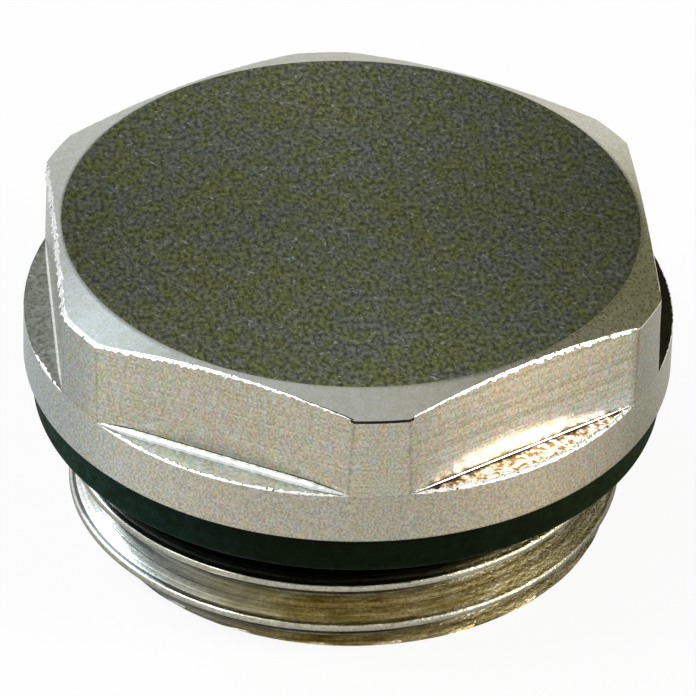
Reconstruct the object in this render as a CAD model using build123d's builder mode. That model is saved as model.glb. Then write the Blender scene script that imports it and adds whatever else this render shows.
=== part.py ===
from build123d import *

import math
import os

# Radiator blanking plug: one turned brass body with six milled flats, and its rubber sealing ring.
# It stands on the end of its thread. The origin is the centre of that end and +Z is the plug's axis.

# Threaded stub: 1/2 inch pipe thread, a 55 degree form at 14 turns to the inch
thread_diameter = 20.75
thread_pitch = 1.814
thread_angle = 55.0
thread_depth = 1.16
thread_length = 4.5
crest_width = 0.30
first_crest_height = 1.56
tool_overcut = 0.1
end_bevel_width = 1.075
end_bevel_height = 0.83

# Bare neck above the thread, with a blind recess bored into it from the thread end
neck_undercut = 0.1
neck_gap = 0.7
neck_wall = 1.615
recess_depth = 8.5
recess_floor_radius = 0.8
recess_mouth_chamfer = 0.4

# Flat rubber ring, seated against the flange and around the neck
ring_width = 2.485
ring_thickness = 1.6
ring_clearance = 0.15
ring_edge_bevel = 0.25

# Head: a round bar with six flats milled from the top down to a ledge, the rest left as a flange
flange_overhang = 0.35
flange_thickness = 2.1
flange_edge_break = 0.15
flat_count = 6
flat_cut = 1.1
flat_height = 3.85
top_chamfer_width = 1.39
top_chamfer_angle = 20.0

# Heights above the thread end
ring_underside = thread_length + neck_gap
flange_underside = ring_underside + ring_thickness
ledge_level = flange_underside + flange_thickness
top_level = ledge_level + flat_height
land_top = top_level - top_chamfer_width * math.tan(math.radians(top_chamfer_angle))

# Radii, from the thread outwards to the flange and the flats
crest_radius = thread_diameter / 2
root_radius = crest_radius - thread_depth
end_radius = crest_radius - end_bevel_width
neck_radius = root_radius - neck_undercut
recess_radius = neck_radius - neck_wall
ring_inner_radius = neck_radius + ring_clearance
ring_outer_radius = ring_inner_radius + ring_width
body_radius = ring_outer_radius + flange_overhang
flat_distance = body_radius - flat_cut
top_face_radius = body_radius - top_chamfer_width

# Thread form: the grooves lie half a pitch to each side of the crests, and run out at both ends
flank_slope = math.tan(math.radians(thread_angle / 2))
groove_width = thread_pitch - crest_width
groove_root_width = groove_width - 2 * thread_depth * flank_slope
groove_mouth_width = groove_width + 2 * tool_overcut * flank_slope
crest_count = math.floor((thread_length - first_crest_height) / thread_pitch) + 1
groove_levels = [first_crest_height + (turn - 0.5) * thread_pitch for turn in range(crest_count + 1)]

with BuildPart() as plug_body:
    # Turned blank: head, flange, neck and a plain stub at the thread's outer diameter, bevelled at its end
    with BuildSketch(Plane.XZ):
        with BuildLine():
            Polyline(
                (0, top_level),
                (top_face_radius, top_level),
                (body_radius, land_top),
                (body_radius, flange_underside + flange_edge_break),
                (body_radius - flange_edge_break, flange_underside),
                (neck_radius, flange_underside),
                (neck_radius, thread_length),
                (crest_radius, thread_length),
                (crest_radius, end_bevel_height),
                (end_radius, 0),
                (0, 0),
                close=True,
            )
        make_face()
    revolve(axis=Axis.Z)

    # Flats: everything outside the hexagon goes, from the top down to the ledge, with one flat facing +X
    with BuildSketch(Plane.XY.offset(ledge_level)):
        Circle(2 * body_radius)
        RegularPolygon(
            flat_distance,
            flat_count,
            major_radius=False,
            rotation=180 / flat_count,
            mode=Mode.SUBTRACT,
        )
    extrude(amount=flat_height, mode=Mode.SUBTRACT)

    # Thread form: level V grooves at the thread's pitch, one on each side of every crest
    with BuildSketch(Plane.XZ):
        for groove_level in groove_levels:
            with BuildLine():
                Polyline(
                    (crest_radius + tool_overcut, groove_level + groove_mouth_width / 2),
                    (root_radius, groove_level + groove_root_width / 2),
                    (root_radius, groove_level - groove_root_width / 2),
                    (crest_radius + tool_overcut, groove_level - groove_mouth_width / 2),
                    close=True,
                )
            make_face()
    revolve(axis=Axis.Z, mode=Mode.SUBTRACT)

    # Blind recess, with a chamfered mouth and a rounded floor edge
    with BuildSketch(Plane.XZ) as recess_section:
        with BuildLine():
            Polyline(
                (0, 0),
                (recess_radius + recess_mouth_chamfer, 0),
                (recess_radius, recess_mouth_chamfer),
                (recess_radius, recess_depth),
                (0, recess_depth),
                close=True,
            )
        make_face()
        floor_corner = recess_section.vertices().group_by(Axis.Y)[-1].sort_by(Axis.X)[-1]
        fillet(floor_corner, recess_floor_radius)
    revolve(axis=Axis.Z, mode=Mode.SUBTRACT)

with BuildPart() as sealing_ring:
    with BuildSketch(Plane.XY.offset(ring_underside)):
        Circle(ring_outer_radius)
        Circle(ring_inner_radius, mode=Mode.SUBTRACT)
    extrude(amount=ring_thickness)
    outer_wall = sealing_ring.faces().filter_by(GeomType.CYLINDER).sort_by(SortBy.AREA)[-1]
    chamfer(outer_wall.edges().filter_by(GeomType.CIRCLE), ring_edge_bevel)

plug_body.part.label = "plug_body"
sealing_ring.part.label = "sealing_ring"

os.makedirs("parts", exist_ok=True)
export_step(plug_body.part, "parts/plug_body.step")
export_step(sealing_ring.part, "parts/sealing_ring.step")
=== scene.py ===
import math

import bmesh
import bpy
import numpy as np
from mathutils import Matrix, Vector


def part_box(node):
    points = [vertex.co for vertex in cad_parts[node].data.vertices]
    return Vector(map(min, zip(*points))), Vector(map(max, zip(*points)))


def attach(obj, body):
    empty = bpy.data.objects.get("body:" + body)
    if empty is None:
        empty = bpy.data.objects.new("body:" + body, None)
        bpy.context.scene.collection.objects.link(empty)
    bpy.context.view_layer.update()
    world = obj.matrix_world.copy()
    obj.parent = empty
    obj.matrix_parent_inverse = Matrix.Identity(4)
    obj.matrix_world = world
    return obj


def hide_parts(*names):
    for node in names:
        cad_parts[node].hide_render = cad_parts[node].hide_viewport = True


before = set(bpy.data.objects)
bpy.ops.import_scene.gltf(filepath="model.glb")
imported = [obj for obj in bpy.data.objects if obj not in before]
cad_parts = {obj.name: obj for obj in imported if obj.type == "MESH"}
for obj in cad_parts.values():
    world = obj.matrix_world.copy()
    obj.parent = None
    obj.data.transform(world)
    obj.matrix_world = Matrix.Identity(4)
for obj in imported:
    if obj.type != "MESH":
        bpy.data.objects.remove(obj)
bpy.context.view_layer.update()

MM = 0.001

# Sizes in millimetres: the outer ones from the frame, the others as in the solids
BODY_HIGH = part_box("plug_body")[1]
RING_LOW, RING_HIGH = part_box("sealing_ring")
BODY_RADIUS = BODY_HIGH.y / MM
TOP_LEVEL = BODY_HIGH.z / MM
FLANGE_UNDERSIDE = RING_HIGH.z / MM
RING_UNDERSIDE = RING_LOW.z / MM
RING_OUTER = RING_HIGH.x / MM
FLANGE_THICKNESS = 2.1
FLANGE_EDGE_RADIUS = 0.15
LEDGE_LEVEL = FLANGE_UNDERSIDE + FLANGE_THICKNESS
TOP_CHAMFER_WIDTH = 1.39
TOP_CHAMFER_SLOPE = math.tan(math.radians(20))
TOP_FACE_RADIUS = BODY_RADIUS - TOP_CHAMFER_WIDTH
TOP_EDGE_RADIUS = 0.14
NECK_RADIUS = 9.115
NECK_FILLET = 0.1
RECESS_RADIUS = 7.5
RECESS_DEPTH = 8.5
RECESS_MOUTH_CHAMFER = 0.4
RECESS_MOUTH_ROUNDING = 0.06
RECESS_FLOOR_RADIUS = 0.8
RECESS_FLOOR_INNER = 2.0
RING_CLEARANCE = 0.15
RING_INNER = NECK_RADIUS + RING_CLEARANCE
RING_OUTER_ROUNDING = 0.3
RING_INNER_ROUNDING = 0.1

# Flats: one in the middle of each sector, the first facing +X, and a round land between each two
FLAT_COUNT = 6
FLAT_DISTANCE = 11.0
FLAT_TAPER = 0.055
HALF_SECTOR = math.pi / FLAT_COUNT
SECTOR = 2 * HALF_SECTOR
FLAT_HALF_ANGLE = math.acos(FLAT_DISTANCE / BODY_RADIUS)
FLAT_END_RAMP = math.radians(1.5)
LEFT_FLAT = 3
FRONT_LEFT_FLAT = 4

# How strong the cutter's marks are on each flat, and on the land that follows each flat
BURR_OF_FLAT = np.array([0.15, 1.0, 1.0, 1.6, 1.0, 1.0])
BEAD_OF_FLAT = np.array([0.5, 0.9, 0.4, 0.35, 1.0, 0.12])
EDGE_OF_FLAT = np.array([0.25, 0.8, 0.6, 0.8, 0.75, 1.3])
BURR_OF_LAND = np.array([0.0, 0.6, 0.0, 0.9, 0.0, 0.0])
SEAM_OF_LAND = np.array([1.0, 0.0, 0.3, 0.0, 1.0, 0.0])

# Upper edge of the flats and lands: a torn burr, weaker beside the two lands that have a dark seam
LEAST_BURR = 0.02
LEAST_BACK = 0.004
LEAST_DROP = 0.02
BURR_BACK = 0.12
BURR_BACK_LOSS = 0.09
BURR_HOLD = 0.12
BURR_SEED = 3
BURR_WAVES = range(40, 320, 7)
TEAR_SEED = 8
TEAR_WAVES = range(25, 230, 6)
SEAM_PLACES = np.radians([30.0, 270.0])
SEAM_HALF_WIDTH = math.radians(5)
SEAM_FADE = math.radians(20)
SEAM_FADE_FRONT_LEFT = math.radians(36)
SEAM_CALM = 0.3
SEAM_DEPTH = 0.06
SEAM_TOP_DROP = 0.03
SEAM_FOOT_DROP = 0.075
FLAT_START_DROP = 0.12
FLAT_START_HEIGHT = 0.05
# Angles of a thin strip above the burr that is painted dark as shade, and the strip's share of the way to
# the top face
DARK_EDGE = np.radians([243.0, 265.0])
DARK_EDGE_SHARE = 0.04

# Foot of the flats: a bright bead, a ledge that falls outwards and its torn outer edge
FOOT_START = 0.30
BEAD_WIDTH = 0.22
BEAD_BASE = 0.02
BEAD_HEIGHT = 0.175
BEAD_UNDERCUT = 0.03
GROOVE_WIDTH = 0.055
GROOVE_LOSS = 0.025
LEDGE_FALL = math.tan(math.radians(3.5))
LEDGE_MARGIN = 0.03
EDGE_WIDTH = 0.10
LEFT_EDGE_START = math.radians(190)
LEFT_EDGE_RAMP = math.radians(4)
LEFT_EDGE_LEAST = 0.1

# Greatest shares of the ledge's width, for its narrow ends
BEAD_SHARE = 0.42
EDGE_SHARE = 0.2
MARGIN_SHARE = 0.1

# Section of the bead: share of its width, height of any bead, and height that grows with the bead
BEAD_SECTION = ((0.22, 0.01, 0.16), (0.55, 0.0, 0.135), (0.85, 0.0, 0.07))

# Section of the torn edge: distance inwards in edge widths, drop, and rise in edge widths
EDGE_SECTION = ((1.6, 0.003, 0.0), (1.1, 0.004, 0.35), (0.9, 0.006, 0.35), (0.05, 0.008, -0.35))

# Rim below the torn edge: drop, and further drop in edge widths
RIM_SECTION = ((0.01, 0.45), (0.05, 0.65))

# Thread: right hand, with its crests where the photograph shows them from the camera's side
CREST_RADIUS = 10.375
THREAD_DEPTH = 1.16
ROOT_RADIUS = CREST_RADIUS - THREAD_DEPTH
THREAD_PITCH = 1.814
THREAD_TOP = 4.5
THREAD_ROUNDING = 0.1
CREST_WIDTH = 0.2
CREST_LEVEL_AT_CAMERA = 3.376
FLANK_SLOPE = math.tan(math.radians(27.5))
RUN_OUT_TOP = THREAD_TOP + 0.35
RUN_OUT_SLOPE = 2.0
NECK_FOOT = THREAD_TOP + 0.45
END_RADIUS = 9.3
END_SLOPE = 1.295
END_ROUNDING = 0.04
END_EDGE_HEIGHT = 0.05
END_EDGE_ROUNDING = 0.03

# Points of the meshes
FLAT_POINTS = 51
LAND_POINTS = 7
BORDER_STEP = math.radians(0.25)
TOP_FACE_RINGS = (0.3, 0.6, 0.9)
THREAD_ROWS = 96
RING_POINTS = 256
CORNER_REACH = 0.42
CORNER_HOLD = 0.15
MERGE_DISTANCE = 2e-4
SHORTEST_EDGE = 1e-4
TINY_LENGTH = 1e-9
SHARP_ANGLE = math.radians(50)

# Camera, solved from the photograph's circles and edges
VIEW_AZIMUTH = -6.35
VIEW_ELEVATION = 35.14
VIEW_ROLL = -1.73
VIEW_DISTANCE = 293.15
VIEW_LENS = 405.5
VIEW_SENSOR = 36.0
VIEW_NEAR = 10
VIEW_FAR = 10000
VIEW_OFFSET_RIGHT = 0.03
VIEW_OFFSET_UP = 0.086
CAMERA_ANGLE = math.radians(VIEW_AZIMUTH - 90)

# Studio: places and widths in millimetres, light as a share of white
STUDIO_TARGET = Vector((0, 0, 6))
FLOOR_WIDTH = 3000
FLOOR_GLOW = 0.92
WORLD_LIGHT = 0.31


class Nodes:
    """Short calls for building one material's nodes."""

    def __init__(self, name, metallic=0.0):
        self.material = bpy.data.materials.new(name)
        self.material.use_nodes = True
        self.tree = self.material.node_tree
        self.shader = self.tree.nodes["Principled BSDF"]
        self.place = self.add("ShaderNodeTexCoord").outputs["Object"]
        self.set("Metallic", metallic)

    def add(self, kind, **values):
        node = self.tree.nodes.new(kind)
        for key, value in values.items():
            setattr(node, key, value)
        return node

    def link(self, source, target):
        self.tree.links.new(source, target)

    def feed(self, socket, value):
        """Gives a socket a link, a colour or a number."""
        if isinstance(value, bpy.types.NodeSocket):
            self.link(value, socket)
        elif np.ndim(value):
            socket.default_value = (*value, 1)
        else:
            socket.default_value = value

    def set(self, name, value):
        self.feed(self.shader.inputs[name], value)

    def math(self, operation, *values):
        node = self.add("ShaderNodeMath", operation=operation)
        for socket, value in zip(node.inputs, values):
            self.feed(socket, value)
        return node.outputs["Value"]

    def axes(self):
        node = self.add("ShaderNodeSeparateXYZ")
        self.link(self.place, node.inputs["Vector"])
        return node.outputs["X"], node.outputs["Y"], node.outputs["Z"]

    def level(self):
        return self.axes()[2]

    def radius(self):
        x, y = self.axes()[:2]
        return self.math("SQRT", self.math("ADD", self.math("MULTIPLY", x, x), self.math("MULTIPLY", y, y)))

    def turn(self):
        """Angle round the axis, zero at the front."""
        x, y = self.axes()[:2]
        return self.math("ARCTAN2", x, self.math("MULTIPLY", y, -1.0))

    def around(self):
        """Share of a turn round the axis: 0.25 on the left, 0.5 at the front, 0.75 on the right."""
        return self.math("ADD", self.math("DIVIDE", self.turn(), 2 * math.pi), 0.5)

    def share(self, value, low, high):
        """Where a length lies between two others, which are in millimetres: 0 at low and 1 at high."""
        return self.math("DIVIDE", self.math("SUBTRACT", value, low * MM), (high - low) * MM)

    def above_helix(self):
        """Height above a helix of the thread's pitch that passes the floor at the front."""
        rise = self.math("MULTIPLY", self.turn(), THREAD_PITCH * MM / (2 * math.pi))
        return self.math("SUBTRACT", self.level(), rise)

    def helix(self):
        """The same height, within one pitch."""
        return self.math("WRAP", self.above_helix(), THREAD_PITCH * MM, 0.0)

    def along_helix(self, stretch):
        """Coordinates for a texture that is stretched along the thread's helix."""
        x, y = self.axes()[:2]
        node = self.add("ShaderNodeCombineXYZ")
        self.link(self.math("DIVIDE", x, stretch), node.inputs["X"])
        self.link(self.math("DIVIDE", y, stretch), node.inputs["Y"])
        self.link(self.helix(), node.inputs["Z"])
        return node.outputs["Vector"]

    def mapped(self, size=(1, 1, 1), turn=0.0):
        """Object coordinates for a texture that is stretched to size and then turned about the axis."""
        node = self.add("ShaderNodeMapping", vector_type="TEXTURE")
        node.inputs["Scale"].default_value = size
        node.inputs["Rotation"].default_value = (0, 0, turn)
        self.link(self.place, node.inputs["Vector"])
        return node.outputs["Vector"]

    def noise(self, vector, scale, detail=2.0, roughness=0.5):
        node = self.add("ShaderNodeTexNoise")
        self.link(vector, node.inputs["Vector"])
        node.inputs["Scale"].default_value = scale
        node.inputs["Detail"].default_value = detail
        node.inputs["Roughness"].default_value = roughness
        return node.outputs["Fac"]

    def lines(self, value, scale, detail=2.0):
        """Noise along one number, for the marks of a tool."""
        node = self.add("ShaderNodeTexNoise", noise_dimensions="1D")
        self.link(value, node.inputs["W"])
        node.inputs["Scale"].default_value = scale
        node.inputs["Detail"].default_value = detail
        return node.outputs["Fac"]

    def ramp(self, value, stops):
        node = self.add("ShaderNodeValToRGB")
        elements = node.color_ramp.elements
        while len(elements) < len(stops):
            elements.new(0.5)
        for element, (position, colour) in zip(elements, stops):
            element.position = position
            element.color = (*colour, 1) if np.ndim(colour) else (colour, colour, colour, 1)
        self.link(value, node.inputs["Fac"])
        return node.outputs["Color"]

    def round_axis(self, stops):
        """A ramp over the share of a turn round the axis."""
        return self.ramp(self.around(), stops)

    def mix(self, kind, first, second, amount):
        node = self.add("ShaderNodeMix", data_type="RGBA", blend_type=kind)
        for socket, value in ((node.inputs[0], amount), (node.inputs[6], first), (node.inputs[7], second)):
            self.feed(socket, value)
        return node.outputs[2]

    def multiply(self, first, second, amount=1.0):
        return self.mix("MULTIPLY", first, second, amount)

    def blend(self, first, second, amount):
        return self.mix("MIX", first, second, amount)

    def bump(self, height, strength, depth, normal=None):
        """A relief, with its depth in millimetres, on top of another one where that is given."""
        node = self.add("ShaderNodeBump")
        node.inputs["Distance"].default_value = depth * MM
        self.feed(node.inputs["Strength"], strength)
        self.link(height, node.inputs["Height"])
        if normal is not None:
            self.link(normal, node.inputs["Normal"])
        return node.outputs["Normal"]

    def patchy(self, scale, least, most):
        """A number that wanders between two values in small patches."""
        return self.ramp(self.noise(self.mapped(), scale), [(0.3, least), (0.7, most)])

    def fine_grain(self):
        return self.noise(self.mapped(), 12000, roughness=0.6)


def speckled(nodes, first, second, scale, grain_low, spread=0.12, stretch=(1, 1, 1), grain_scale=11000,
             grain_stretch=(1, 1, 1)):
    """Two tones in small patches under a fine grain of light and dark."""
    patch = nodes.noise(nodes.mapped(stretch), scale, detail=3.0, roughness=0.6)
    tone = nodes.ramp(patch, [(0.5 - spread, first), (0.5 + spread, second)])
    grain = nodes.noise(nodes.mapped(grain_stretch), grain_scale, roughness=0.6)
    return nodes.multiply(tone, nodes.ramp(grain, [(0.36, grain_low), (0.64, 1.0)]))


def painted_side_light(nodes):
    """Painted light round the axis: cold and bright on the left, warm and bright at the front right and
    darker on the right.
    """
    return nodes.round_axis([
        (0.1, (0.98, 1.0, 1.0)), (0.25, (1.06, 1.15, 1.26)), (0.42, (1.0, 1.0, 1.02)), (0.52, 1.0),
        (0.58, (1.26, 1.17, 1.08)), (0.66, (0.82, 0.84, 0.83)), (0.9, (0.98, 1.0, 1.0)),
    ])


def satin_top():
    """Dark satin face: olive and slate grains with short pale scratches, with painted shade at its left and
    right and painted light at its front and back.
    """
    nodes = Nodes("satin_top_face", metallic=1.0)
    olive = (0.163, 0.178, 0.077)
    slate = (0.165, 0.177, 0.139)
    scratched = (0.293, 0.306, 0.293)
    colour = speckled(nodes, olive, slate, 1500, grain_low=0.3, spread=0.09, stretch=(1, 1.35, 1),
                      grain_scale=6200, grain_stretch=(1, 1.5, 1))
    broad = nodes.noise(nodes.mapped(), 350, detail=1.0, roughness=0.4)
    cloud = nodes.ramp(broad, [(0.35, (1.04, 1.03, 0.88)), (0.65, (0.97, 0.99, 1.1))])
    colour = nodes.multiply(colour, cloud)
    for turn, scale, low in ((0.35, 7400, 0.70), (-0.9, 7900, 0.70), (1.5, 6600, 0.705), (2.4, 4400, 0.71)):
        mark = nodes.noise(nodes.mapped((2.0, 1, 1), turn), scale, detail=1.0, roughness=0.4)
        colour = nodes.blend(colour, scratched, nodes.ramp(mark, [(low, 0.0), (low + 0.09, 0.9)]))
    # Painted shade towards the left and right, painted light towards the front and back
    left_to_right = [(0.0, 0.74), (0.15, 0.88), (0.5, 1.02), (0.85, 0.78), (1.0, 0.62)]
    front_to_back = [(0.0, 1.2), (0.5, 1.0), (1.0, 1.2)]
    for place, stops in zip(nodes.axes(), (left_to_right, front_to_back)):
        across = nodes.share(place, -TOP_FACE_RADIUS, TOP_FACE_RADIUS)
        colour = nodes.multiply(colour, nodes.ramp(across, stops))
    nodes.set("Base Color", colour)
    grain = nodes.fine_grain()
    nodes.set("Roughness", nodes.ramp(grain, [(0.3, 0.52), (0.7, 0.64)]))
    nodes.set("Normal", nodes.bump(grain, 0.3, 0.01))
    return nodes.material


def turned_chamfer():
    """Fine turning marks round the chamfer, with painted light and shade round the axis."""
    nodes = Nodes("turned_chamfer", metallic=1.0)
    colour = speckled(nodes, (0.37, 0.37, 0.305), (0.41, 0.40, 0.37), 2600, grain_low=0.86)
    # Painted light and shade round the axis: brightest at the back and at the front right, darker on the
    # left and at the front, with a darker patch on the right
    tint = nodes.round_axis([
        (0.0, (1.55, 1.55, 1.5)), (0.12, (1.42, 1.52, 1.54)), (0.27, (1.0, 1.06, 1.15)),
        (0.34, (0.9, 0.95, 1.05)), (0.45, (1.03, 1.07, 1.1)), (0.56, (1.08, 1.08, 1.02)),
        (0.64, (1.8, 1.75, 1.4)), (0.7, (1.75, 1.72, 1.2)), (0.755, (1.3, 1.32, 0.9)),
        (0.84, (1.73, 1.72, 1.63)), (0.9, (1.7, 1.69, 1.62)), (1.0, (1.55, 1.55, 1.5)),
    ])
    nodes.set("Base Color", nodes.multiply(colour, tint))
    nodes.set("Roughness", nodes.patchy(9000, 0.24, 0.36))
    nodes.set("Normal", nodes.bump(nodes.lines(nodes.radius(), 16000), 0.05, 0.01))
    return nodes.material


def milled_flats():
    """Flats with milling marks along them, a thin painted shade line at each land, faint upright streaking,
    and painted light and shade round the axis.
    """
    nodes = Nodes("milled_flats", metallic=1.0)
    upright = (1, 1, 2)
    level = nodes.level()
    height = nodes.share(level, LEDGE_LEVEL, TOP_LEVEL)
    yellow = (0.605, 0.55, 0.39)
    grey = (0.595, 0.57, 0.515)
    colour = speckled(nodes, yellow, grey, 2800, grain_low=0.58, stretch=upright)
    patch = nodes.noise(nodes.mapped(upright), 4000)
    tint = nodes.ramp(patch, [(0.36, (1.0, 0.9, 0.88)), (0.64, (0.88, 0.96, 0.9))])
    colour = nodes.multiply(colour, tint)
    marks = nodes.lines(level, 9000, detail=3.0)
    colour = nodes.multiply(colour, nodes.ramp(marks, [(0.34, 0.88), (0.66, 1.04)]))

    # Painted shade: a dark line along the border of each land, which is a little wider at the top
    border = 0.5 - FLAT_HALF_ANGLE / SECTOR
    corner = nodes.math("DIVIDE", nodes.math("PINGPONG", nodes.turn(), HALF_SECTOR), SECTOR)
    corner = nodes.math("ADD", corner, nodes.math("MULTIPLY", height, 0.2 * FLAT_TAPER))
    line = nodes.ramp(corner, [(border - 0.008, 1.0), (border, 0.75), (border + 0.008, 1.0)])
    colour = nodes.multiply(colour, line)

    # Painted light and shade on each flat and land, then the painted light of each side
    painted_cold_land = (0.94, 0.99, 1.07)
    painted_face_light = nodes.round_axis([
        (0.18, 1.0), (0.22, 0.7), (0.3, 0.64), (0.312, painted_cold_land), (0.338, painted_cold_land), (0.345, 1.12),
        (0.37, 1.08), (0.485, 1.08), (0.495, 1.0), (0.515, 1.0), (0.535, 1.14), (0.65, 1.18), (0.653, 0.72),
        (0.68, 0.72), (0.684, 1.0),
    ])
    colour = nodes.multiply(nodes.multiply(colour, painted_face_light), painted_side_light(nodes))

    # The two front flats: a paler foot, which is painted reflection, and longer marks on the right one, and
    # softer reflections on both
    left = nodes.round_axis([(0.335, 0.0), (0.345, 1.0), (0.485, 1.0), (0.495, 0.0)])
    right = nodes.round_axis([(0.515, 0.0), (0.535, 1.0), (0.65, 1.0), (0.653, 0.0)])
    colour = nodes.multiply(colour, nodes.ramp(height, [(0.06, (1.12, 1.2, 1.5)), (0.4, 1.0)]), right)
    long_marks = nodes.ramp(nodes.lines(level, 3200), [(0.4, 0.9), (0.6, 1.08)])
    nodes.set("Base Color", nodes.multiply(colour, long_marks, right))
    smooth = nodes.ramp(nodes.noise(nodes.mapped((1, 1, 0.4)), 5000), [(0.3, 0.2), (0.7, 0.32)])
    softened = nodes.math("ADD", left, nodes.math("MULTIPLY", right, 0.55))
    soft = nodes.math("MULTIPLY", nodes.ramp(height, [(0.1, 0.2), (0.5, 0.0)]), softened)
    nodes.set("Roughness", nodes.math("ADD", smooth, soft))
    nodes.set("Normal", nodes.bump(nodes.fine_grain(), 0.12, 0.01, nodes.bump(marks, 0.1, 0.01)))
    return nodes.material


def bright_burrs():
    """Bare bright metal pushed up at the edges by the cutter, torn and uneven."""
    nodes = Nodes("bright_burrs", metallic=1.0)
    colour = speckled(nodes, (0.84, 0.83, 0.78), (0.93, 0.92, 0.89), 5000, grain_low=0.85)
    gaps = nodes.noise(nodes.mapped(), 6500)
    nodes.set("Base Color", nodes.multiply(colour, nodes.ramp(gaps, [(0.33, 0.06), (0.39, 1.0)])))
    nodes.set("Roughness", nodes.patchy(8000, 0.18, 0.36))
    tears = nodes.noise(nodes.mapped(), 7000, detail=3.0, roughness=0.6)
    nodes.set("Normal", nodes.bump(tears, 0.5, 0.03))
    return nodes.material


def bright_beads():
    """Smooth bright beads left along the foot of the flats."""
    nodes = Nodes("bright_beads", metallic=1.0)
    nodes.set("Base Color", speckled(nodes, (0.68, 0.695, 0.655), (0.77, 0.79, 0.78), 5000, grain_low=0.85))
    nodes.set("Roughness", nodes.patchy(8000, 0.18, 0.3))
    nodes.set("Normal", nodes.bump(nodes.noise(nodes.mapped(), 5000), 0.15, 0.02))
    return nodes.material


def painted_shade_grooves():
    """Narrow grooves beside the edges, painted dark as their shade."""
    nodes = Nodes("painted_shade_grooves")
    colour = speckled(nodes, (0.012, 0.011, 0.008), (0.05, 0.046, 0.036), 4000, grain_low=0.6)
    nodes.set("Base Color", colour)
    nodes.set("Roughness", 0.8)
    nodes.set("Specular IOR Level", 0.1)
    dirt = nodes.noise(nodes.mapped(), 6000, detail=3.0, roughness=0.6)
    nodes.set("Normal", nodes.bump(dirt, 0.4, 0.03))
    return nodes.material


def rough_ledges():
    """Ledges where the cutter ended, the one at the front right torn, with brass showing in its hollows."""
    nodes = Nodes("rough_ledges", metallic=1.0)
    pale = (1.45, 1.4, 1.25)
    dark = (0.25, 0.26, 0.18)
    clean = speckled(nodes, (0.405, 0.45, 0.46), (0.485, 0.54, 0.565), 3000, grain_low=0.74,
                     grain_scale=7000)
    # Painted light on the ledges at the left and back, painted shade on those at the right
    shade = nodes.round_axis([
        (0.3, pale), (0.34, 1.0), (0.66, 1.0), (0.7, dark), (0.82, dark), (0.95, pale),
    ])
    clean = nodes.multiply(clean, shade)

    # The torn ledge is brown, with painted shade beside its flat and at its front end
    torn = speckled(nodes, (0.27, 0.17, 0.06), (0.95, 0.91, 0.80), 3500, grain_low=0.7, spread=0.07,
                    grain_scale=9000)
    x, y = nodes.axes()[:2]
    sideways = nodes.math("MULTIPLY", x, math.sin(HALF_SECTOR))
    forward = nodes.math("MULTIPLY", y, -math.cos(HALF_SECTOR))
    outward = nodes.share(nodes.math("ADD", sideways, forward), FLAT_DISTANCE, BODY_RADIUS)
    spots = nodes.math("MULTIPLY", nodes.noise(nodes.mapped(), 2600), 0.8)
    outward = nodes.math("ADD", outward, spots)
    torn = nodes.multiply(torn, nodes.ramp(outward, [(0.5, (0.08, 0.05, 0.02)), (0.66, 1.0)]))
    torn = nodes.multiply(torn, nodes.round_axis([(0.535, (0.42, 0.36, 0.32)), (0.565, (0.9, 0.9, 0.95))]))
    worn = nodes.round_axis([(0.505, 0.0), (0.525, 1.0), (0.645, 1.0), (0.665, 0.0)])
    nodes.set("Base Color", nodes.blend(clean, torn, worn))
    side_ramp = nodes.round_axis([(0.16, 0.0), (0.2, 0.16), (0.3, 0.16), (0.34, 0.0)])
    nodes.set("Roughness", nodes.math("ADD", nodes.patchy(6000, 0.1, 0.2), side_ramp))
    tears = nodes.noise(nodes.mapped(), 5500, detail=3.0, roughness=0.65)
    strength = nodes.math("ADD", nodes.math("MULTIPLY", worn, 0.4), 0.05)
    nodes.set("Normal", nodes.bump(tears, strength, 0.03))
    return nodes.material


def turned_flange():
    """The flange's turned rim, with painted light round the axis: cold and bright on the left, darker at
    the front and on the right.
    """
    nodes = Nodes("turned_flange", metallic=1.0)
    colour = speckled(nodes, (0.54, 0.50, 0.375), (0.52, 0.505, 0.455), 2800, grain_low=0.58)
    patch = nodes.noise(nodes.mapped(), 5200)
    tint = nodes.ramp(patch, [(0.36, (1.0, 0.91, 0.89)), (0.64, (0.9, 0.96, 0.91))])
    colour = nodes.multiply(colour, tint)
    painted_flange_light = nodes.round_axis([
        (0.1, 1.0), (0.27, (1.02, 1.1, 1.22)), (0.36, (1.22, 1.25, 1.3)), (0.41, (1.15, 1.14, 1.15)),
        (0.44, 1.03), (0.51, 0.94), (0.57, 1.05), (0.63, 1.05), (0.66, (0.9, 0.92, 0.84)), (0.8, 1.0),
    ])
    nodes.set("Base Color", nodes.multiply(nodes.multiply(colour, painted_flange_light), painted_side_light(nodes)))
    nodes.set("Roughness", nodes.patchy(7000, 0.24, 0.36))
    marks = nodes.lines(nodes.level(), 9000)
    nodes.set("Normal", nodes.bump(nodes.fine_grain(), 0.12, 0.01, nodes.bump(marks, 0.08, 0.01)))
    return nodes.material


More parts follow.
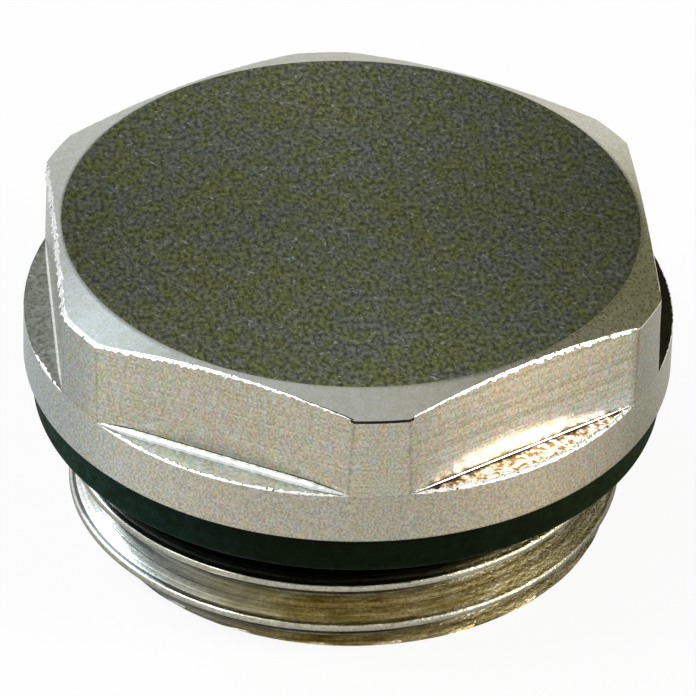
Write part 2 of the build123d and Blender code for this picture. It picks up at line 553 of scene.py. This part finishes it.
def cut_thread():
    """The thread: worn pale crests, flanks with fine lines along the helix, painted light on the left, and
    painted shade in the roots and on the right.
    """
    nodes = Nodes("cut_thread", metallic=1.0)
    depth = nodes.share(nodes.radius(), ROOT_RADIUS, CREST_RADIUS)
    marks = nodes.lines(nodes.helix(), 15000, detail=3.0)

    # Flanks: brown with streaking whose brightest tones are painted glints, and on the left a pale cold
    # tone with scored lines, which is painted light
    streaks_and_glints = nodes.noise(nodes.along_helix(9.0), 7000, roughness=0.55)
    brown = nodes.ramp(streaks_and_glints, [
        (0.38, (0.48, 0.40, 0.17)), (0.5, (0.66, 0.57, 0.31)), (0.62, (0.90, 0.82, 0.58)),
    ])
    grain = nodes.noise(nodes.mapped((1, 1, 0.7)), 8000, roughness=0.6)
    brown = nodes.multiply(brown, nodes.ramp(grain, [(0.36, 0.6), (0.64, 1.0)]))
    painted_lit_flank = speckled(nodes, (0.76, 0.77, 0.72), (0.84, 0.86, 0.82), 3200, grain_low=0.75, grain_scale=9000)
    scored = nodes.ramp(nodes.lines(nodes.helix(), 4600, detail=1.0), [(0.4, 0.2), (0.46, 1.0)])
    brown_share = nodes.round_axis([(0.08, 1.0), (0.14, 0.0), (0.36, 0.0), (0.46, 1.0)])
    flank = nodes.blend(nodes.multiply(painted_lit_flank, scored), brown, brown_share)
    flank = nodes.multiply(flank, nodes.ramp(marks, [(0.36, 0.5), (0.6, 1.0)]))
    # Painted shade in the roots
    flank = nodes.multiply(flank, nodes.ramp(depth, [(0.0, 0.12), (0.15, 1.0)]))

    # Dark above the upper crest at the front, where the photograph shows the neck's shadow
    turns_up = nodes.share(nodes.above_helix(), CREST_LEVEL_AT_CAMERA, CREST_LEVEL_AT_CAMERA + THREAD_PITCH)
    upper = nodes.ramp(turns_up, [(0.12, 0.0), (0.2, 1.0)])
    shade = nodes.blend((1.0, 1.0, 1.0), (0.15, 0.17, 0.13), upper)
    front = nodes.round_axis([(0.24, 0.0), (0.34, 1.0), (0.6, 1.0), (0.7, 0.0)])
    flank = nodes.multiply(flank, shade, front)

    # Crests, and painted shade on the right side
    crest = speckled(nodes, (0.43, 0.42, 0.34), (0.50, 0.49, 0.42), 3200, grain_low=0.65)
    colour = nodes.blend(flank, crest, nodes.ramp(depth, [(0.935, 0.0), (0.985, 1.0)]))
    side_ramp = nodes.round_axis([
        (0.6, 1.0), (0.645, (0.56, 0.56, 0.53)), (0.7, (0.5, 0.51, 0.47)), (0.85, 1.0),
    ])
    nodes.set("Base Color", nodes.multiply(colour, side_ramp))
    blunt = nodes.round_axis([(0.53, 0.0), (0.57, 0.14), (0.63, 0.14), (0.68, 0.0)])
    nodes.set("Roughness", nodes.math("ADD", nodes.ramp(marks, [(0.3, 0.14), (0.7, 0.3)]), blunt))
    chatter = nodes.noise(nodes.mapped((1, 1, 0.6)), 6500, detail=3.0, roughness=0.6)
    strength = nodes.round_axis([(0.08, 0.6), (0.14, 0.06), (0.40, 0.06), (0.58, 0.6)])
    nodes.set("Normal", nodes.bump(chatter, strength, 0.06, nodes.bump(marks, 0.35, 0.02)))
    return nodes.material


def bored_recess():
    """The bored hollow."""
    nodes = Nodes("bored_recess", metallic=1.0)
    nodes.set("Base Color", speckled(nodes, (0.38, 0.35, 0.25), (0.45, 0.42, 0.34), 2600, grain_low=0.8))
    nodes.set("Roughness", nodes.patchy(6000, 0.26, 0.42))
    marks = nodes.lines(nodes.math("ADD", nodes.level(), nodes.radius()), 7000)
    nodes.set("Normal", nodes.bump(marks, 0.3, 0.02))
    return nodes.material


def rubber():
    """Matte black rubber with a painted cold sheen on the left and a painted warm sheen on the right."""
    nodes = Nodes("ring_rubber")
    painted_cold_sheen = (4.8, 4.5, 14.0)
    warm = (1.8, 1.6, 1.2)
    tone = speckled(nodes, (0.002, 0.0055, 0.0006), (0.0036, 0.009, 0.0022), 1800, grain_low=0.6,
                    grain_scale=9000)
    # Painted sheen: cold and bright on the left, warm on the right
    sheen = nodes.round_axis([
        (0.1, 1.0), (0.26, painted_cold_sheen), (0.32, painted_cold_sheen), (0.37, (2.0, 3.0, 10.0)), (0.45, (1.0, 1.1, 1.0)),
        (0.54, 1.0), (0.62, warm), (0.7, warm), (0.8, 1.0),
    ])
    nodes.set("Base Color", nodes.multiply(tone, sheen))
    nodes.set("Roughness", nodes.patchy(4000, 0.5, 0.7))
    nodes.set("Specular IOR Level", 0.035)
    relief = nodes.noise(nodes.mapped(), 5000, detail=3.0, roughness=0.6)
    nodes.set("Normal", nodes.bump(relief, 0.2, 0.02))
    return nodes.material


# Zones of the body's surface, each with the function that makes its material
MATERIAL_OF_ZONE = {
    "top_face": satin_top,
    "top_chamfer": turned_chamfer,
    "burrs": bright_burrs,
    "beads": bright_beads,
    "grooves": painted_shade_grooves,
    "flats": milled_flats,
    "ledges": rough_ledges,
    "flange": turned_flange,
    "thread": cut_thread,
    "recess": bored_recess,
}
ZONES = list(MATERIAL_OF_ZONE)


def noise_along(angles, seed, waves):
    """Smooth noise of about unit size that closes on itself round the axis."""
    rng = np.random.default_rng(seed)
    total = np.zeros_like(angles)
    for wave in waves:
        total += rng.normal() * np.cos(wave * angles + rng.uniform(0, 2 * np.pi))
    return total / math.sqrt(len(waves))


def uneven(noise, middle, swing, least, most):
    """A size that follows the noise about its middle, within limits."""
    return np.clip(middle + swing * noise, least, most)


def between(start, end, share):
    return start + share * (end - start)


def smooth_min(a, b, blend):
    """The lesser of a and b, with the corner between them rounded over a width of blend."""
    h = np.clip(0.5 + 0.5 * (b - a) / blend, 0, 1)
    return b + (a - b) * h - blend * h * (1 - h)


def angle_samples():
    """Angles round the axis, with a line on each border between a flat and a land and close beside it."""
    near = FLAT_HALF_ANGLE
    far = SECTOR - near
    step = BORDER_STEP
    sector = np.concatenate([
        [-near, -near + step],
        np.linspace(-near + 3 * step, near - 3 * step, FLAT_POINTS),
        [near - step, near, near + step],
        np.linspace(near + 3 * step, far - 3 * step, LAND_POINTS),
        [far - step],
    ])
    return np.concatenate([sector + SECTOR * k for k in range(FLAT_COUNT)])


def with_midpoints(angles):
    """The same angles with one more between each two neighbours."""
    following = np.append(angles[1:], angles[0] + 2 * math.pi)
    return np.stack([angles, (angles + following) / 2], axis=1).ravel()


def from_flat(angles):
    """Angle from the middle of the nearest flat."""
    return np.mod(angles + HALF_SECTOR, SECTOR) - HALF_SECTOR


def flat_radius(angles, inset=0.0):
    """Radius of the milled head at each angle: the flat, or the round bar where a land is left."""
    return np.minimum(BODY_RADIUS, (FLAT_DISTANCE - inset) / np.cos(from_flat(angles)))


def flat_share(angles):
    """1 on the flats and 0 on the lands, with a short ramp at the flats' ends."""
    return np.clip((FLAT_HALF_ANGLE - np.abs(from_flat(angles))) / FLAT_END_RAMP, 0, 1)


def thread_radius(angles, level):
    """Outer radius of the threaded stub at each angle of one level."""
    turn = (angles - CAMERA_ANGLE) / (2 * math.pi)
    along = (level - CREST_LEVEL_AT_CAMERA) / THREAD_PITCH - turn
    from_crest = np.abs(along - np.round(along)) * THREAD_PITCH
    flank = CREST_RADIUS - (from_crest - CREST_WIDTH / 2) / FLANK_SLOPE
    radius = smooth_min(flank, CREST_RADIUS, THREAD_ROUNDING)
    radius = -smooth_min(-radius, -ROOT_RADIUS, THREAD_ROUNDING)
    end_cone = END_RADIUS + level * END_SLOPE
    run_out = NECK_RADIUS + np.maximum(0.0, RUN_OUT_TOP - level) * RUN_OUT_SLOPE
    radius = smooth_min(radius, end_cone, END_ROUNDING)
    return smooth_min(radius, run_out, END_ROUNDING)


def rounded_corner(before, corner, after, radius, steps):
    """Points of a rounded corner, from the side of before to the side of after, one row per step."""
    to_before = before - corner
    to_after = after - corner
    len_before = np.linalg.norm(to_before, axis=-1, keepdims=True)
    len_after = np.linalg.norm(to_after, axis=-1, keepdims=True)
    reach = np.minimum(radius, CORNER_REACH * np.minimum(len_before, len_after))
    start = corner + to_before / np.maximum(len_before, TINY_LENGTH) * reach
    end = corner + to_after / np.maximum(len_after, TINY_LENGTH) * reach
    rows = [start + (start - corner) * CORNER_HOLD]
    for step in range(steps + 1):
        t = step / steps
        rows.append((1 - t) ** 2 * start + 2 * t * (1 - t) * corner + t ** 2 * end)
    rows.append(end + (end - corner) * CORNER_HOLD)
    return rows


class Rows:
    """Rows of (radius, level) pairs down a surface, each with the zones of the faces below it."""

    def __init__(self, angles):
        self.angles = angles
        self.count = len(angles)
        self.points = []
        self.zones = []

    def row(self, radius, level):
        """One (radius, level) pair for each angle."""
        row = np.empty((self.count, 2))
        row[:, 0] = radius
        row[:, 1] = level
        return row

    def put(self, row, zone, other_zone=None, other=False):
        """Adds a row. Where other holds, the faces below the row belong to other_zone instead."""
        chosen = np.where(other, ZONES.index(other_zone or zone), ZONES.index(zone))
        self.points.append(row)
        self.zones.append(np.broadcast_to(chosen, self.count))

    def put_all(self, rows, zone):
        for row in rows:
            self.put(row, zone)


class Head:
    """The milled head at each angle: its radius, the flat or land there, and how uneven the cut is."""

    def __init__(self, angles):
        self.angles = angles
        self.foot = flat_radius(angles)
        self.top = flat_radius(angles, FLAT_TAPER)
        self.share = flat_share(angles)
        self.land = (self.share <= 0) & (np.roll(self.share, -1) <= 0)
        self.land_index = np.floor(angles / SECTOR).astype(int) % FLAT_COUNT
        self.flat_index = np.round(angles / SECTOR).astype(int) % FLAT_COUNT
        self.burr = noise_along(angles, BURR_SEED, BURR_WAVES)
        self.tear = noise_along(angles, TEAR_SEED, TEAR_WAVES)

    def torn(self):
        """How strong the burr of the upper edge is, least beside the seams."""
        torn = np.maximum(self.share * BURR_OF_FLAT[self.flat_index], BURR_OF_LAND[self.land_index])
        turned = [np.angle(np.exp(1j * (self.angles - place))) for place in SEAM_PLACES]
        from_seam = np.min(np.abs(turned), axis=0)
        fade = np.where(self.flat_index == FRONT_LEFT_FLAT, SEAM_FADE_FRONT_LEFT, SEAM_FADE)
        grown = SEAM_CALM + (1 - SEAM_CALM) * (from_seam - SEAM_HALF_WIDTH) / fade
        return torn * np.clip(grown, SEAM_CALM, 1)


def put_top(surface, head):
    """The top face and the chamfer, with a torn burr along the chamfer's outer edge."""
    row, put, put_all = surface.row, surface.put, surface.put_all
    torn = head.torn()
    clean = torn < LEAST_BURR
    seam = np.where(head.share <= 0, SEAM_OF_LAND[head.land_index], 0.0)
    open_seam = seam > 0.5
    dark_edge = (head.angles > DARK_EDGE[0]) & (head.angles < DARK_EDGE[1])

    # Sizes of the burr: how far back it starts, how far it stands out and how far down it reaches
    set_back = BURR_BACK - BURR_BACK_LOSS * head.share
    back = torn * uneven(head.tear, middle=set_back, swing=0.015, least=0.0, most=0.14)
    back = np.maximum(LEAST_BACK, back)
    proud = head.share * torn * uneven(head.burr, middle=0.06, swing=0.03, least=0.0, most=0.12)
    drop = torn * uneven(head.burr, middle=0.095, swing=0.035, least=0.02, most=0.17)
    drop = np.maximum(LEAST_DROP, drop)
    edge_level = TOP_LEVEL - (head.top - back - TOP_FACE_RADIUS) * TOP_CHAMFER_SLOPE
    foot_level = edge_level - drop
    seam_radius = head.top - SEAM_DEPTH * seam

    top_edge = row(TOP_FACE_RADIUS, TOP_LEVEL)
    burr_top = row(head.top - back, edge_level)
    burr_foot = row(head.top + proud, foot_level)
    flat_start = row(head.top, foot_level - FLAT_START_DROP)
    for portion in TOP_FACE_RINGS:
        put(row(TOP_FACE_RADIUS * portion, TOP_LEVEL), "top_face")
    corner = rounded_corner(surface.points[-1], top_edge, burr_top, TOP_EDGE_RADIUS, steps=4)
    middle = len(corner) // 2
    put_all(corner[:middle], "top_face")
    put_all(corner[middle:], "top_chamfer")
    # A thin strip above the burr, painted dark as shade on part of the front left flat
    put(between(burr_top, top_edge, DARK_EDGE_SHARE), "top_chamfer", "grooves", dark_edge)
    put(burr_top, "burrs", "top_chamfer", clean)
    put(between(burr_top, burr_foot, BURR_HOLD), "burrs", "top_chamfer", clean)
    put(between(burr_top, burr_foot, 1 - BURR_HOLD), "burrs", "flats", clean)
    # At the two open seams, the faces below the burr are painted dark as shade
    put(burr_foot, "burrs", "grooves", open_seam)
    put(row(seam_radius, foot_level - SEAM_TOP_DROP), "flats", "grooves", open_seam)
    put(row(seam_radius, foot_level - SEAM_FOOT_DROP), "flats", "grooves", open_seam)
    put(flat_start, "flats")
    put(flat_start - (0, FLAT_START_HEIGHT), "flats")


def put_foot(surface, head):
    """The foot of the flats: a fine groove, a bright bead and the ledge with its torn outer edge."""
    row, put = surface.row, surface.put
    land = head.land
    width = BODY_RADIUS - head.foot
    ripple = uneven(head.tear, middle=1, swing=0.03, least=0.9, most=1.1)
    bead = np.minimum(BEAD_WIDTH, BEAD_SHARE * width) * ripple * BEAD_OF_FLAT[head.flat_index]
    lift = bead / BEAD_WIDTH
    groove = np.minimum(GROOVE_WIDTH - GROOVE_LOSS * lift, MARGIN_SHARE * width)
    ragged = uneven(head.burr, middle=1, swing=0.45, least=0.1, most=2.0)
    edge = np.minimum(EDGE_WIDTH, EDGE_SHARE * width) * ragged * EDGE_OF_FLAT[head.flat_index]
    begun = np.clip((head.angles - LEFT_EDGE_START) / LEFT_EDGE_RAMP, LEFT_EDGE_LEAST, 1)
    edge = np.where(head.flat_index == LEFT_FLAT, edge * begun, edge)

    bead_level = LEDGE_LEVEL + BEAD_BASE + BEAD_HEIGHT * lift
    put(row(head.foot, LEDGE_LEVEL + FOOT_START), "flats")
    # The fine groove above the bead is painted dark as shade
    put(row(head.foot, bead_level + groove), "grooves", "flats", land)
    put(row(head.foot - BEAD_UNDERCUT * lift, bead_level), "beads", "flats", land)
    for out, base, rise in BEAD_SECTION:
        put(row(head.foot + out * bead, LEDGE_LEVEL + base + rise * lift), "beads", "flats", land)
    put(row(head.foot + bead, LEDGE_LEVEL), "ledges", "flats", land)

    margin = np.minimum(LEDGE_MARGIN, MARGIN_SHARE * width)
    inner = bead + margin
    outer = width - EDGE_SECTION[0][0] * edge - margin
    low = LEDGE_LEVEL - LEDGE_FALL * np.maximum(outer - bead, 0)
    put(row(head.foot + inner, LEDGE_LEVEL - LEDGE_FALL * (inner - bead)), "ledges", "flats", land)
    put(row(head.foot + outer, low), "ledges", "flange", land)
    for inward, drop, rise in EDGE_SECTION:
        put(row(BODY_RADIUS - inward * edge, low - drop + rise * edge), "burrs", "flange", land)
    for drop, fall in RIM_SECTION:
        put(row(BODY_RADIUS, low - drop - fall * edge), "flange")


def put_flange(surface):
    """The flange's rim and its underside, as far as the ring's bore."""
    rim = surface.row(BODY_RADIUS, LEDGE_LEVEL)
    edge = surface.row(BODY_RADIUS, FLANGE_UNDERSIDE)
    neck = surface.row(NECK_RADIUS, FLANGE_UNDERSIDE)
    surface.put_all(rounded_corner(rim, edge, neck, FLANGE_EDGE_RADIUS, steps=4), "flange")
    surface.put(surface.row(RING_INNER, FLANGE_UNDERSIDE), "flange")


def head_rows(angles):
    """The head and the flange, from the top face down to the neck."""
    surface = Rows(angles)
    head = Head(angles)
    put_top(surface, head)
    put_foot(surface, head)
    put_flange(surface)
    return surface


def stub_rows(angles):
    """The neck, the thread, the end face and the recess."""
    surface = Rows(angles)
    row, put, put_all = surface.row, surface.put, surface.put_all
    flange_inner = row(NECK_RADIUS + 3 * NECK_FILLET, FLANGE_UNDERSIDE)
    neck_corner = row(NECK_RADIUS, FLANGE_UNDERSIDE)
    neck_foot = row(NECK_RADIUS, NECK_FOOT)
    put_all(rounded_corner(flange_inner, neck_corner, neck_foot, NECK_FILLET, steps=3)[1:], "flange")
    for level in np.linspace(NECK_FOOT, END_EDGE_HEIGHT, THREAD_ROWS):
        put(row(thread_radius(angles, level), level), "thread")

    end_wall = surface.points[-1]
    end_corner = row(thread_radius(angles, 0.0), 0.0)
    mouth_edge = row(RECESS_RADIUS + RECESS_MOUTH_CHAMFER, 0.0)
    mouth_foot = row(RECESS_RADIUS, RECESS_MOUTH_CHAMFER)
    floor_corner = row(RECESS_RADIUS, RECESS_DEPTH)
    floor_inner = row(RECESS_FLOOR_INNER, RECESS_DEPTH)
    put_all(rounded_corner(end_wall, end_corner, mouth_edge, END_EDGE_ROUNDING, steps=2)[1:], "thread")
    put_all(rounded_corner(end_corner, mouth_edge, mouth_foot, RECESS_MOUTH_ROUNDING, steps=3), "thread")
    put_all(rounded_corner(mouth_edge, mouth_foot, floor_corner, RECESS_MOUTH_ROUNDING, steps=3), "recess")
    put_all(rounded_corner(mouth_foot, floor_corner, floor_inner, RECESS_FLOOR_RADIUS, steps=6), "recess")
    put(floor_inner, "recess")
    return surface


def add_object(name, data):
    """A new object, linked to the scene."""
    piece = bpy.data.objects.new(name, data)
    bpy.context.scene.collection.objects.link(piece)
    return piece


class Loft:
    """A mesh lofted through rows of points. A row's zone is the material of the faces below it."""

    def __init__(self):
        self.mesh = bmesh.new()

    def ring_of_points(self, angles, row):
        places = np.stack([row[:, 0] * np.cos(angles), row[:, 0] * np.sin(angles), row[:, 1]], axis=1)
        return [self.mesh.verts.new(place * MM) for place in places]

    def add_face(self, verts, zone):
        self.mesh.faces.new(verts).material_index = int(zone)

    def bridge(self, upper, lower, zones):
        """Faces between two rows of points. The upper row may have twice as many as the lower one."""
        step = len(upper) // len(lower)
        for i in range(len(lower)):
            j = (i + 1) % len(lower)
            top = [upper[(i * step + k) % len(upper)] for k in range(step, -1, -1)]
            self.add_face([lower[i], lower[j], *top], zones[i * step])

    def fan(self, ring, level, zones, facing_down):
        """Faces from a row of points to one point on the axis."""
        hub = self.mesh.verts.new((0, 0, level * MM))
        for i in range(len(ring)):
            j = (i + 1) % len(ring)
            pair = (ring[j], ring[i]) if facing_down else (ring[i], ring[j])
            self.add_face((hub, *pair), zones[i])

    def surface(self, rows):
        """Faces through all the rows; gives the points of the first and the last row."""
        rings = [self.ring_of_points(rows.angles, row) for row in rows.points]
        for upper, lower, zones in zip(rings[:-1], rings[1:], rows.zones[:-1]):
            self.bridge(upper, lower, zones)
        return rings[0], rings[-1]

    def finish(self, name):
        """The finished object, without points that coincide and with its sharp edges marked."""
        mesh = self.mesh
        bmesh.ops.remove_doubles(mesh, verts=mesh.verts, dist=MERGE_DISTANCE * MM)
        bmesh.ops.dissolve_degenerate(mesh, edges=mesh.edges, dist=SHORTEST_EDGE * MM)
        bmesh.ops.recalc_face_normals(mesh, faces=mesh.faces)
        data = bpy.data.meshes.new(name)
        mesh.to_mesh(data)
        mesh.free()
        data.shade_smooth()
        data.set_sharp_from_angle(angle=SHARP_ANGLE)
        return add_object(name, data)


def make_body():
    """The turned and milled body, in place of its solid."""
    angles = angle_samples()
    head = head_rows(with_midpoints(angles))
    stub = stub_rows(angles)
    loft = Loft()
    top, flange_inner = loft.surface(head)
    neck, floor = loft.surface(stub)
    loft.fan(top, TOP_LEVEL, head.zones[0], False)
    loft.bridge(flange_inner, neck, head.zones[-1])
    loft.fan(floor, RECESS_DEPTH, stub.zones[-1], True)
    piece = loft.finish("plug_body_finish")
    for make_material in MATERIAL_OF_ZONE.values():
        piece.data.materials.append(make_material())
    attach(piece, "root")
    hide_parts("plug_body")


def make_ring():
    """The flat rubber ring, with rounded edges, in place of its solid. Its one material is the first."""
    surface = Rows(np.linspace(0, 2 * np.pi, RING_POINTS, endpoint=False))
    outline = [
        (RING_OUTER, FLANGE_UNDERSIDE, RING_OUTER_ROUNDING),
        (RING_OUTER, RING_UNDERSIDE, RING_OUTER_ROUNDING),
        (RING_INNER, RING_UNDERSIDE, RING_INNER_ROUNDING),
        (RING_INNER, FLANGE_UNDERSIDE, RING_INNER_ROUNDING),
    ]
    corners = [surface.row(radius, level) for radius, level, rounding in outline]
    for k, (radius, level, rounding) in enumerate(outline):
        following = corners[(k + 1) % len(corners)]
        surface.put_all(rounded_corner(corners[k - 1], corners[k], following, rounding, steps=6), ZONES[0])
    loft = Loft()
    first, last = loft.surface(surface)
    loft.bridge(last, first, surface.zones[-1])
    piece = loft.finish("sealing_ring_finish")
    piece.data.materials.append(rubber())
    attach(piece, "root")
    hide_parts("sealing_ring")


def make_camera():
    """The camera at the photograph's viewing angle."""
    azimuth = math.radians(VIEW_AZIMUTH)
    elevation = math.radians(VIEW_ELEVATION)
    roll = math.radians(VIEW_ROLL)
    upwards = Vector((0, 0, 1))
    away = Vector((-math.sin(azimuth), math.cos(azimuth), 0))
    right = Vector((math.cos(azimuth), math.sin(azimuth), 0))
    forward = away * math.cos(elevation) - upwards * math.sin(elevation)
    up = away * math.sin(elevation) + upwards * math.cos(elevation)
    rolled_right = right * math.cos(roll) - up * math.sin(roll)
    rolled_up = right * math.sin(roll) + up * math.cos(roll)
    target = Vector((0, 0, FLANGE_UNDERSIDE))
    place = target - forward * VIEW_DISTANCE + rolled_right * VIEW_OFFSET_RIGHT + rolled_up * VIEW_OFFSET_UP
    data = bpy.data.cameras.new("camera")
    data.lens = VIEW_LENS
    data.sensor_width = VIEW_SENSOR
    data.clip_start = VIEW_NEAR * MM
    data.clip_end = VIEW_FAR * MM
    camera = add_object("camera", data)
    axes = Matrix((rolled_right, rolled_up, -forward)).transposed().to_4x4()
    camera.matrix_world = Matrix.Translation(place * MM) @ axes
    bpy.context.scene.camera = camera


def make_sheet(name, width, height, material):
    """A flat rectangle round the origin, for the studio."""
    mesh = bmesh.new()
    bmesh.ops.create_grid(mesh, x_segments=1, y_segments=1, size=0.5)
    bmesh.ops.scale(mesh, verts=mesh.verts, vec=(width * MM, height * MM, 1))
    data = bpy.data.meshes.new(name)
    mesh.to_mesh(data)
    mesh.free()
    data.materials.append(material)
    return add_object(name, data)


def aim(piece, place, axis):
    """Puts a piece of the studio at place, in millimetres, with its axis towards the plug."""
    piece.location = Vector(place) * MM
    piece.rotation_euler = (STUDIO_TARGET - Vector(place)).to_track_quat(axis, "Y").to_euler()


def pale_floor():
    """A pale matte material that looks nearly white to the camera."""
    nodes = Nodes("pale_floor")
    nodes.set("Base Color", (0.92, 0.92, 0.92))
    nodes.set("Roughness", 0.9)
    glow = nodes.add("ShaderNodeEmission")
    glow.inputs["Strength"].default_value = 1.0
    path = nodes.add("ShaderNodeLightPath")
    mix = nodes.add("ShaderNodeMixShader")
    nodes.link(nodes.math("MULTIPLY", path.outputs["Is Camera Ray"], FLOOR_GLOW), mix.inputs["Fac"])
    nodes.link(nodes.shader.outputs["BSDF"], mix.inputs[1])
    nodes.link(glow.outputs["Emission"], mix.inputs[2])
    nodes.link(mix.outputs["Shader"], nodes.tree.nodes["Material Output"].inputs["Surface"])
    return nodes.material


def make_floor():
    """A plain pale floor under the part."""
    floor = make_sheet("floor", FLOOR_WIDTH, FLOOR_WIDTH, pale_floor())


def make_world():
    """Soft even light, with white behind the object and in its reflections."""
    world = bpy.data.worlds.new("studio")
    world.use_nodes = True
    tree = world.node_tree
    background = tree.nodes["Background"]
    background.inputs["Color"].default_value = (1, 1, 1, 1)
    path = tree.nodes.new("ShaderNodeLightPath")
    seen = path.outputs["Is Camera Ray"]
    for ray in ("Is Glossy Ray", "Is Transmission Ray"):
        either = tree.nodes.new("ShaderNodeMath")
        either.operation = "MAXIMUM"
        tree.links.new(seen, either.inputs[0])
        tree.links.new(path.outputs[ray], either.inputs[1])
        seen = either.outputs["Value"]
    level = tree.nodes.new("ShaderNodeMapRange")
    level.inputs["To Min"].default_value = WORLD_LIGHT
    level.inputs["To Max"].default_value = 1.0
    tree.links.new(seen, level.inputs["Value"])
    tree.links.new(level.outputs["Result"], background.inputs["Strength"])
    bpy.context.scene.world = world


def make_card(name, place, width, height):
    """A dark card of the studio, behind the object and out of the picture, for the metal to reflect."""
    nodes = Nodes(name)
    nodes.set("Base Color", (0.12, 0.11, 0.055))
    nodes.set("Roughness", 0.9)
    card = make_sheet(name, width, height, nodes.material)
    aim(card, place, "Z")
    card.visible_camera = False


def make_lamp(name, place, width, height, power, colour):
    """A soft lamp of the studio."""
    data = bpy.data.lights.new(name, "AREA")
    data.shape = "RECTANGLE"
    data.size = width * MM
    data.size_y = height * MM
    data.energy = power
    data.color = colour
    aim(add_object(name, data), place, "-Z")


make_body()
make_ring()
make_camera()
make_floor()
make_world()
make_card("dark_card", place=(143, 369, 277), width=560, height=272)
make_card("upper_card", place=(185, 195, 400), width=280, height=150)
make_lamp("key_lamp", place=(-208, -52, 270), width=130, height=130, power=0.46, colour=(0.95, 0.98, 1.0))
make_lamp("left_lamp", place=(-208, 157, 236), width=130, height=170, power=0.29, colour=(0.78, 0.94, 1.0))
make_lamp("right_lamp", place=(259, -129, 167), width=98, height=98, power=0.68, colour=(1.0, 0.93, 0.82))
bpy.context.scene.view_settings.view_transform = "Standard"
